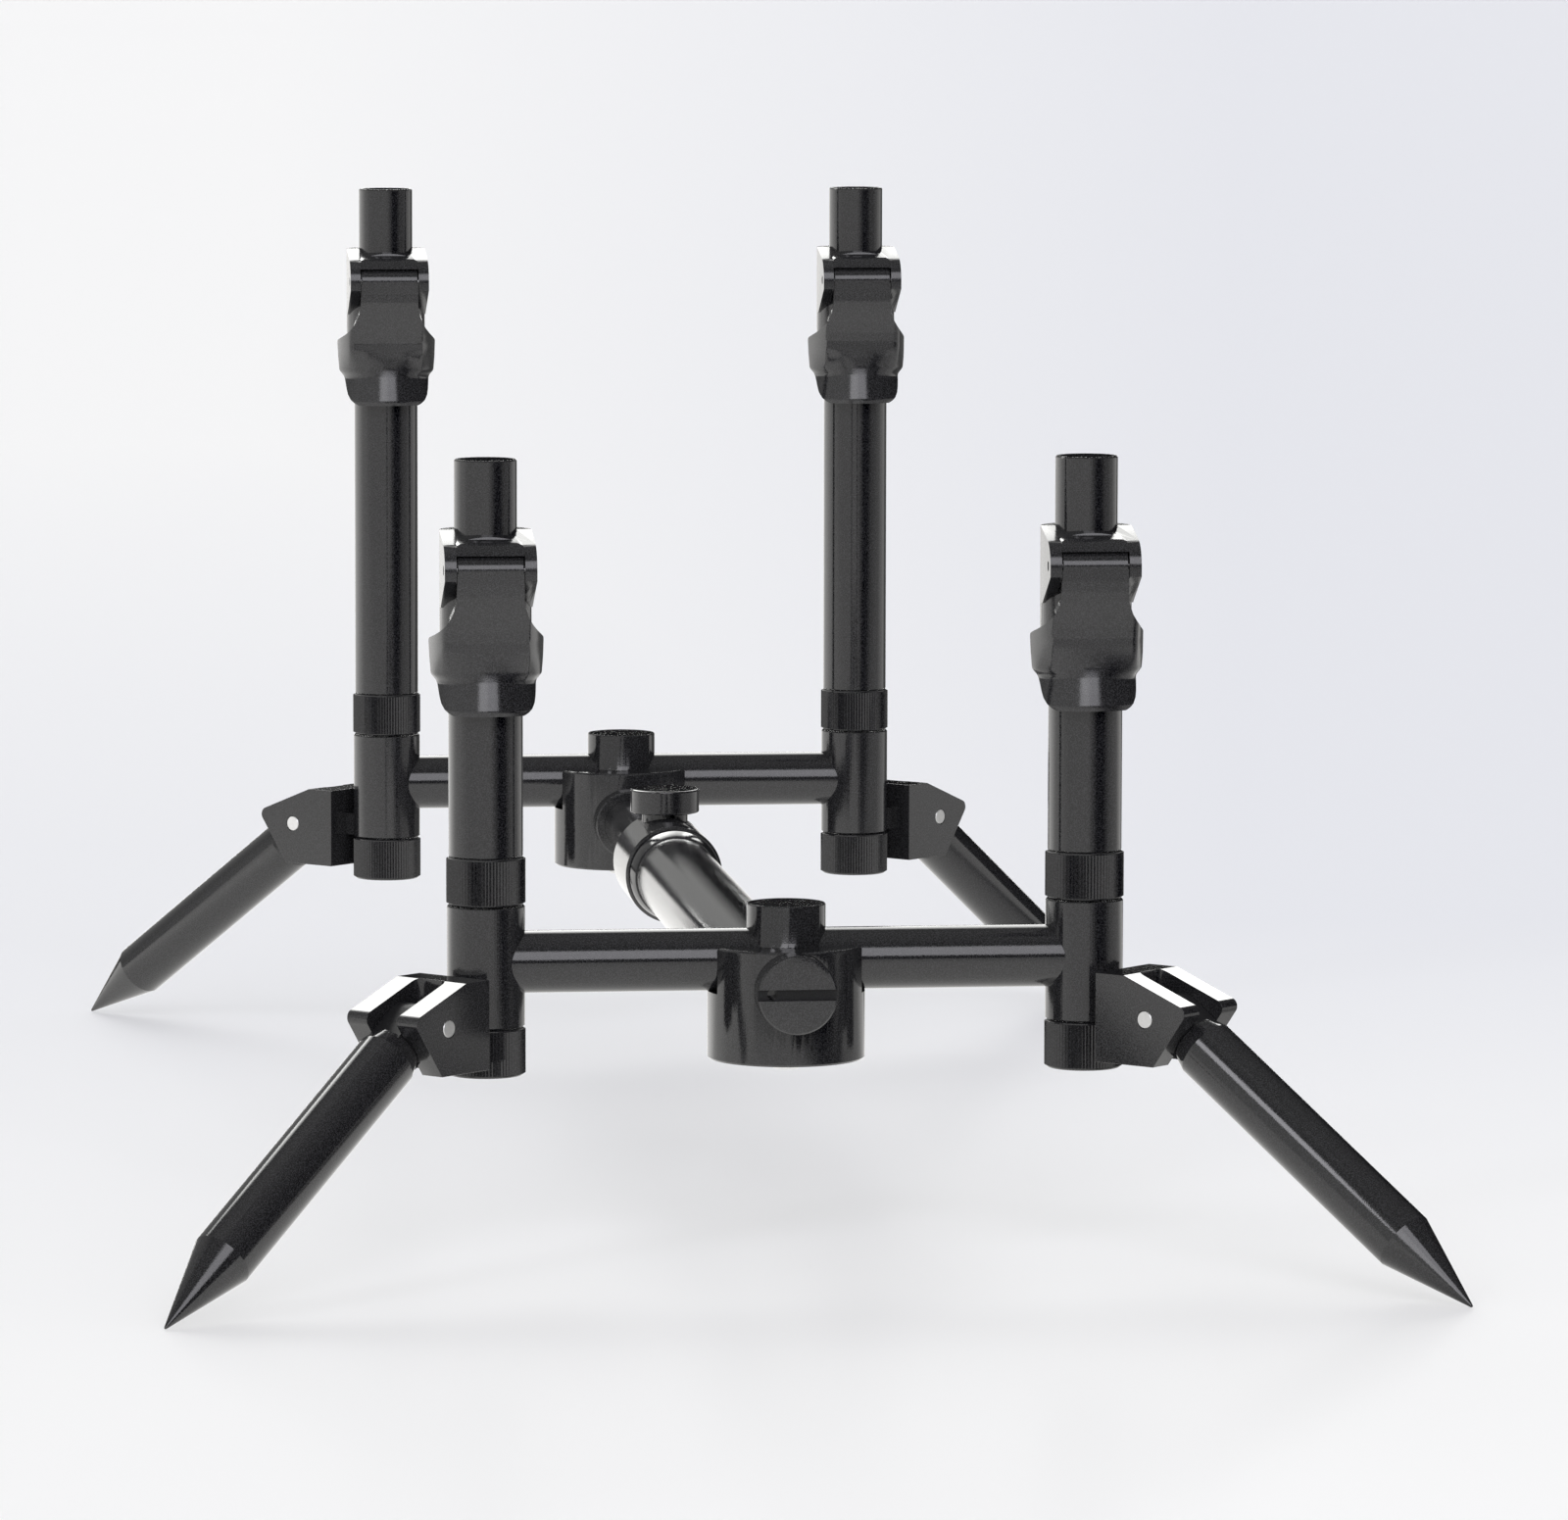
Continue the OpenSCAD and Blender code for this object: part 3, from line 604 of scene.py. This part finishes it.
def build_leg(end, side):
    """The tongue of the solid leg, with a turned body whose neck is a full cone.

    The solid's neck is flat at two sides, where it swings between the bracket's ears.
    """
    node_name = f"{end}_{side}_leg"
    joint = JOINTS[node_name + "_fold"]
    pin = Vector(joint["pos_m"])
    outward = Vector((-joint["axis"][1], joint["axis"][0], 0)).normalized()
    tilt = math.radians(LEG_TILT)
    along = outward * math.cos(tilt) - Vector((0, 0, math.sin(tilt)))
    tongue = eased_copy(node_name, 0.2, cut=(pin + along * TONGUE_END * MM, along))
    # The tongue takes the darker black with weak gloss, as painted shade between the bracket's ears.
    paint(tongue, SHADE_BLACK)
    bm = bmesh.new()
    outline = [Vector((radius, 0, place)) * MM for place, radius in LEG_OUTLINE]
    turn_outline(bm, outline, closed=False, axis=(0, 0, 1), steps=120)
    bmesh.ops.remove_doubles(bm, verts=bm.verts, dist=SAME_POINT)
    turn = along.to_track_quat("Z", "Y").to_matrix()
    bmesh.ops.rotate(bm, cent=(0, 0, 0), matrix=turn, verts=bm.verts)
    bmesh.ops.translate(bm, vec=pin, verts=bm.verts)
    bmesh.ops.recalc_face_normals(bm, faces=bm.faces)
    goes_with(piece_of(bm, node_name + "_body", LEG_CREASE), node_name)


for end, side in CORNERS:
    build_lever(end, side)
    build_leg(end, side)

# The camera, in metres and degrees

CAMERA_PLACE = (-0.3175, -3.0172, 0.4419)
YAW = 6.553
PITCH_DOWN = 5.897
ROLL = 0.115
LENS = 211.3
SENSOR_WIDTH = 36.0
SEES_TO = 200.0


def set_camera():
    yaw, pitch, roll = (math.radians(angle) for angle in (YAW, PITCH_DOWN, ROLL))
    forward = Vector((math.sin(yaw) * math.cos(pitch), math.cos(yaw) * math.cos(pitch), -math.sin(pitch)))
    right = Vector((math.cos(yaw), -math.sin(yaw), 0))
    up = right.cross(forward)
    tilted_right = right * math.cos(roll) + up * math.sin(roll)
    tilted_up = up * math.cos(roll) - right * math.sin(roll)
    data = bpy.data.cameras.new("camera")
    data.lens = LENS
    data.sensor_width = SENSOR_WIDTH
    data.clip_end = SEES_TO
    camera = bpy.data.objects.new("camera", data)
    turn = Matrix((tilted_right, tilted_up, -forward)).transposed()
    camera.matrix_world = Matrix.Translation(CAMERA_PLACE) @ turn.to_4x4()
    bpy.context.scene.collection.objects.link(camera)
    bpy.context.scene.camera = camera


# The floor

FLOOR_SIZE = 60.0
FLOOR_NEAR = (0.960, 0.960, 0.955, 1)
FLOOR_DIM = (0.815, 0.825, 0.865, 1)
FLOOR_OWN_LIGHT = 0.42
FLOOR_SHEEN = 0.03
MIRRORED_TINT = (1.0, 0.99, 0.97)
# The dim fan at the right opens from this fixed place on the floor, in metres, below the camera
FAN_FOOT = (-0.3175, -3.0172)


def mirrored_level(s, x, y):
    """How bright the floor is in the pod's gloss, by its direction round the pod."""
    turn = s.degrees_round(x, y)
    beside_spine = s.ramp(x.math("ABSOLUTE", x), 0.1, 0.3)
    dark_right = s.window(turn, 2.0, 14.0, 152.0, 176.0)
    pale_strip = s.window(turn, 42.0, 50.0, 118.0, 134.0) * (0.65 + 0.35 * s.ramp(turn, 84.0, 74.0))
    left_glow = s.window(turn, -78.0, -62.0, -45.0, -25.0)
    near_side = s.ramp(y, -0.3, -0.9)
    by_direction = 0.45 * left_glow - 1.2 * dark_right + 0.85 * pale_strip
    return 1.35 - 0.3 * near_side + by_direction * beside_spine


def pale_floor():
    """A pale studio floor, a little dimmer behind the pod and to the right.

    The gloss of the pod sees it brighter at the left and dimmer at the right.
    """
    made, s = material("studio_floor")
    place = s.node("TexCoord", output="Object")
    x, y = s.outputs(s.node("SeparateXYZ", {"Vector": place}), ("X", "Y"))
    drift = s.node("TexNoise", {"Vector": place, "Scale": 0.5, "Detail": 1.0}, "Fac")
    behind = s.window(y, -0.45, 0.5, 0.9, 3.4) * 0.6 + drift * 0.06
    aside = (x - FAN_FOOT[0]) / (y - FAN_FOOT[1])
    right = s.ramp(aside, 0.055, 0.165) * s.ramp(y, -0.35, 0.6)
    colour = s.mix(behind.largest(right), FLOOR_NEAR, FLOOR_DIM)
    dull = s.node("BsdfDiffuse", {"Color": colour}, "BSDF")
    bright = s.node("Emission", {"Color": colour, "Strength": 0.955}, "Emission")
    sheen = s.node("BsdfGlossy", {"Color": grey(1.0), "Roughness": 0.2}, "BSDF")
    lit = s.node("MixShader", {0: FLOOR_OWN_LIGHT, 1: dull, 2: bright})
    seen = s.node("MixShader", {0: FLOOR_SHEEN, 1: lit, 2: sheen})
    light = s.node(
        "VectorMath", {"Vector": MIRRORED_TINT, "Scale": mirrored_level(s, x, y)}, "Vector", operation="SCALE"
    )
    mirrored = s.node("Emission", {"Color": light, "Strength": 1.0}, "Emission")
    (glossy_ray,) = s.outputs(s.node("LightPath"), ["Is Glossy Ray"])
    s.node("OutputMaterial", {"Surface": s.node("MixShader", {0: glossy_ray, 1: seen, 2: mirrored})})
    return made


def lay_floor():
    bm = bmesh.new()
    bmesh.ops.create_grid(bm, x_segments=1, y_segments=1, size=FLOOR_SIZE / 2)
    mesh = bpy.data.meshes.new("studio_floor")
    bm.to_mesh(mesh)
    bm.free()
    floor = bpy.data.objects.new("studio_floor", mesh)
    bpy.context.scene.collection.objects.link(floor)
    mesh.materials.append(pale_floor())


# The studio's light

# Soft boxes: the degrees round and the degrees up where each begins, is full, fades and is gone, and
# its strength. The near two are behind the camera and turn from straight in front of the pod
RIGHT_BOX = ((13.0, 17.0, 27.0, 31.0), (20.0, 23.0, 36.0, 40.0), 6.0)
NEAR_BOX = ((-21.0, -18.0, 21.0, 24.0), (10.0, 14.0, 40.0, 46.0), 3.6)
NEAR_LAMP = ((-56.0, -53.0, -43.0, -40.0), (26.0, 29.0, 40.0, 43.0), 5.6)
WARM = (1.0, 1.0, 0.98, 1)
LAVENDER = (0.95, 0.94, 1.0, 1)
FILL = (0.97, 0.97, 1.0, 1)
BACKGROUND = (0.84, 0.85, 0.89, 1)


def studio_world():
    """Soft boxes far, near and at the right in a dim room, which gloss sees, and a fill for dull faces."""
    world = bpy.data.worlds.new("studio")
    bpy.context.scene.world = world
    world.use_nodes = True
    s = Shader(world.node_tree)
    toward = s.node("TexCoord", output="Generated")
    x, y, z = s.outputs(s.node("SeparateXYZ", {"Vector": toward}), ("X", "Y", "Z"))
    up = z.math("ARCSINE", z) * (180 / math.pi)
    turn = s.degrees_round(x, y)
    near_turn = s.degrees_round(x, 0 - y)

    def soft_box(direction, box):
        around, upward, strength = box
        return s.window(direction, *around) * s.window(up, *upward) * strength

    # The far box's lower edge climbs to the left, and a pale backdrop fills the room below it
    above_edge = up - (11.0 + 0.62 * (9.0 - turn).largest(0.0))
    far_strength = 3.4 + 4.0 * s.ramp(turn, 8.0, -6.0)
    far_upward = s.ramp(above_edge, -1.5, 1.5) * s.ramp(up, 50.0, 37.0)
    far_light = far_strength * s.window(turn, -40.0, -37.0, 12.0, 24.0) * far_upward
    backdrop_upward = s.ramp(up, 1.8, 2.6) * s.ramp(above_edge, 1.0, -1.0)
    backdrop = s.window(turn, -95.0, -60.0, -1.0, 5.0) * backdrop_upward
    # A thin bright line just above the floor's edge
    line_up = up + 0.05 * turn
    horizon = s.window(line_up, 1.0, 1.2, 2.1, 2.3) * s.window(turn, -30.0, -20.0, 16.0, 26.0)
    left_wall = s.ramp(up, 48.0, 22.0) * s.ramp(turn, -60.0, -95.0)
    ceiling = s.ramp(up, 25.0, 75.0) * (0.3 + 0.15 * s.ramp(turn, 0.0, -40.0))
    room_light = ceiling + 0.4 * backdrop + 0.85 * left_wall + 4.5 * horizon + soft_box(turn, RIGHT_BOX)
    near_light = soft_box(near_turn, NEAR_BOX) + soft_box(near_turn, NEAR_LAMP)

    glossy_ray, camera_ray = s.outputs(s.node("LightPath"), ("Is Glossy Ray", "Is Camera Ray"))
    room = s.node("MixShader", {0: glossy_ray, 1: s.glow(FILL, 0.5), 2: s.glow(WARM, room_light)})
    lamps = s.node("AddShader", {0: s.glow(WARM, far_light), 1: s.glow(LAVENDER, near_light)})
    lit = s.node("AddShader", {0: room, 1: lamps})
    seen = s.glow(BACKGROUND, 1.0)
    s.node("OutputWorld", {"Surface": s.node("MixShader", {0: camera_ray, 1: lit, 2: seen})})


lay_floor()
studio_world()
set_camera()
bpy.context.scene.view_settings.view_transform = "Standard"
